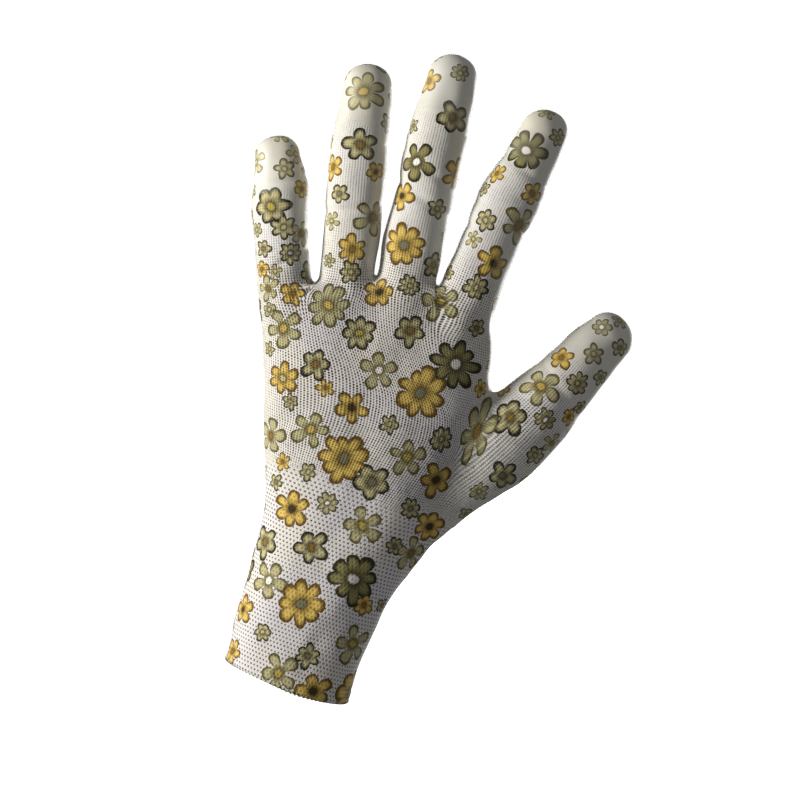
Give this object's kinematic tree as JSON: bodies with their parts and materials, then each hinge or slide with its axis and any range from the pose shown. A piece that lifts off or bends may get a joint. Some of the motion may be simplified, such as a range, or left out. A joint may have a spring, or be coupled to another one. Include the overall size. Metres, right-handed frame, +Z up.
{
  "type": "gardening glove",
  "caption": "Left-hand seamless-knit gardening glove with a flower print, an elastic knit cuff and a thin dipped film on the palm and fingertips.",
  "frame": {"origin": "centre of the cuff's mouth", "axes": "+Z up the forearm and out to the fingers, +X towards the thumb, +Y out of the palm, -Y the back of the hand"},
  "size_m": [0.1559, 0.0377, 0.2359],
  "materials": {
    "liner": "fine knit with a printed gold, sage and olive flower pattern",
    "coating": "thin satin off-white dipped film, the print showing through",
    "elastic": "covered elastic yarn",
    "overlock_thread": "off-white overlock thread"
  },
  "bodies": {
    "cuff": {"cuff_hem": "liner", "cuff_overlock": "overlock_thread", "cuff_rib": "liner", "cuff_elastic": "elastic", "wrist_fold": "liner"},
    "hand": {"cuff_top": "liner", "hand_liner": "liner", "palm_coating": "coating", "little_root": "liner", "ring_root": "liner", "middle_root": "liner", "index_root": "liner", "thumb_root": "liner"},
    "little_proximal": {"little_proximal": "liner", "little_proximal_coating": "coating", "little_middle_knuckle": "liner"},
    "little_middle": {"little_middle": "liner", "little_middle_coating": "coating", "little_end_knuckle": "liner"},
    "little_tip": {"little_tip": "liner", "little_tip_coating": "coating"},
    "ring_proximal": {"ring_proximal": "liner", "ring_proximal_coating": "coating", "ring_middle_knuckle": "liner"},
    "ring_middle": {"ring_middle": "liner", "ring_middle_coating": "coating", "ring_end_knuckle": "liner"},
    "ring_tip": {"ring_tip": "liner", "ring_tip_coating": "coating"},
    "middle_proximal": {"middle_proximal": "liner", "middle_proximal_coating": "coating", "middle_middle_knuckle": "liner"},
    "middle_middle": {"middle_middle": "liner", "middle_middle_coating": "coating", "middle_end_knuckle": "liner"},
    "middle_tip": {"middle_tip": "liner", "middle_tip_coating": "coating"},
    "index_proximal": {"index_proximal": "liner", "index_proximal_coating": "coating", "index_middle_knuckle": "liner"},
    "index_middle": {"index_middle": "liner", "index_middle_coating": "coating", "index_end_knuckle": "liner"},
    "index_tip": {"index_tip": "liner", "index_tip_coating": "coating"},
    "thumb_proximal": {"thumb_proximal": "liner", "thumb_proximal_coating": "coating", "thumb_knuckle": "liner"},
    "thumb_tip": {"thumb_tip": "liner", "thumb_tip_coating": "coating"}
  },
  "joints": [
    {"name": "wrist_bend", "type": "hinge", "parent": "cuff", "child": "hand", "pos_m": [0, 0, 0.045], "axis": [-1, 0, 0], "range_deg": [-50, 60], "deforming": ["wrist_fold"]},
    {"name": "little_root_bend", "type": "hinge", "parent": "hand", "child": "little_proximal", "pos_m": [-0.05325, 0.00028, 0.14294], "axis": [-0.9772, 0, -0.2122], "range_deg": [-15, 55], "deforming": ["little_root"]},
    {"name": "little_middle_bend", "type": "hinge", "parent": "little_proximal", "child": "little_middle", "pos_m": [-0.06011, 0.00115, 0.15799], "axis": [-0.91, 0, -0.4147], "range_deg": [0, 75], "deforming": ["little_middle_knuckle"]},
    {"name": "little_end_bend", "type": "hinge", "parent": "little_middle", "child": "little_tip", "pos_m": [-0.0669, 0.00316, 0.17289], "axis": [-0.91, 0, -0.4147], "range_deg": [0, 45], "deforming": ["little_end_knuckle"]},
    {"name": "ring_root_bend", "type": "hinge", "parent": "hand", "child": "ring_proximal", "pos_m": [-0.03223, 0.00029, 0.15236], "axis": [-0.9927, 0, -0.121], "range_deg": [-15, 55], "deforming": ["ring_root"]},
    {"name": "ring_middle_bend", "type": "hinge", "parent": "ring_proximal", "child": "ring_middle", "pos_m": [-0.03714, 0.00136, 0.1722], "axis": [-0.9707, 0, -0.2402], "range_deg": [0, 75], "deforming": ["ring_middle_knuckle"]},
    {"name": "ring_end_bend", "type": "hinge", "parent": "ring_middle", "child": "ring_tip", "pos_m": [-0.04322, 0.00447, 0.19677], "axis": [-0.9707, 0, -0.2402], "range_deg": [0, 45], "deforming": ["ring_end_knuckle"]},
    {"name": "middle_root_bend", "type": "hinge", "parent": "hand", "child": "middle_proximal", "pos_m": [-0.0101, 0.00029, 0.15955], "axis": [-0.9974, 0, -0.0715], "range_deg": [-15, 55], "deforming": ["middle_root"]},
    {"name": "middle_middle_bend", "type": "hinge", "parent": "middle_proximal", "child": "middle_middle", "pos_m": [-0.01336, 0.00149, 0.18217], "axis": [-0.9898, 0, -0.1426], "range_deg": [0, 75], "deforming": ["middle_middle_knuckle"]},
    {"name": "middle_end_bend", "type": "hinge", "parent": "middle_middle", "child": "middle_tip", "pos_m": [-0.01718, 0.00478, 0.20869], "axis": [-0.9898, 0, -0.1426], "range_deg": [0, 45], "deforming": ["middle_end_knuckle"]},
    {"name": "index_root_bend", "type": "hinge", "parent": "hand", "child": "index_proximal", "pos_m": [0.01414, 0.00029, 0.16109], "axis": [-0.9988, 0, 0.048], "range_deg": [-15, 55], "deforming": ["index_root"]},
    {"name": "index_middle_bend", "type": "hinge", "parent": "index_proximal", "child": "index_middle", "pos_m": [0.01618, 0.00141, 0.18234], "axis": [-0.9954, 0, 0.0958], "range_deg": [0, 75], "deforming": ["index_middle_knuckle"]},
    {"name": "index_end_bend", "type": "hinge", "parent": "index_middle", "child": "index_tip", "pos_m": [0.01852, 0.0044, 0.20654], "axis": [-0.9954, 0, 0.0958], "range_deg": [0, 45], "deforming": ["index_end_knuckle"]},
    {"name": "thumb_root_bend", "type": "hinge", "parent": "hand", "child": "thumb_proximal", "pos_m": [0.05108, 0.00452, 0.12285], "axis": [-0.9063, 0, 0.4226], "range_deg": [-15, 40], "deforming": ["thumb_root"]},
    {"name": "thumb_knuckle_bend", "type": "hinge", "parent": "thumb_proximal", "child": "thumb_tip", "pos_m": [0.05825, 0.0063, 0.13823], "axis": [-0.9063, 0, 0.4226], "range_deg": [0, 55], "deforming": ["thumb_knuckle"]}
  ],
  "couplings": [
    {"joint": "little_end_bend", "follows": "little_middle_bend", "ratio": 0.6},
    {"joint": "ring_end_bend", "follows": "ring_middle_bend", "ratio": 0.6},
    {"joint": "middle_end_bend", "follows": "middle_middle_bend", "ratio": 0.6},
    {"joint": "index_end_bend", "follows": "index_middle_bend", "ratio": 0.6}
  ]
}
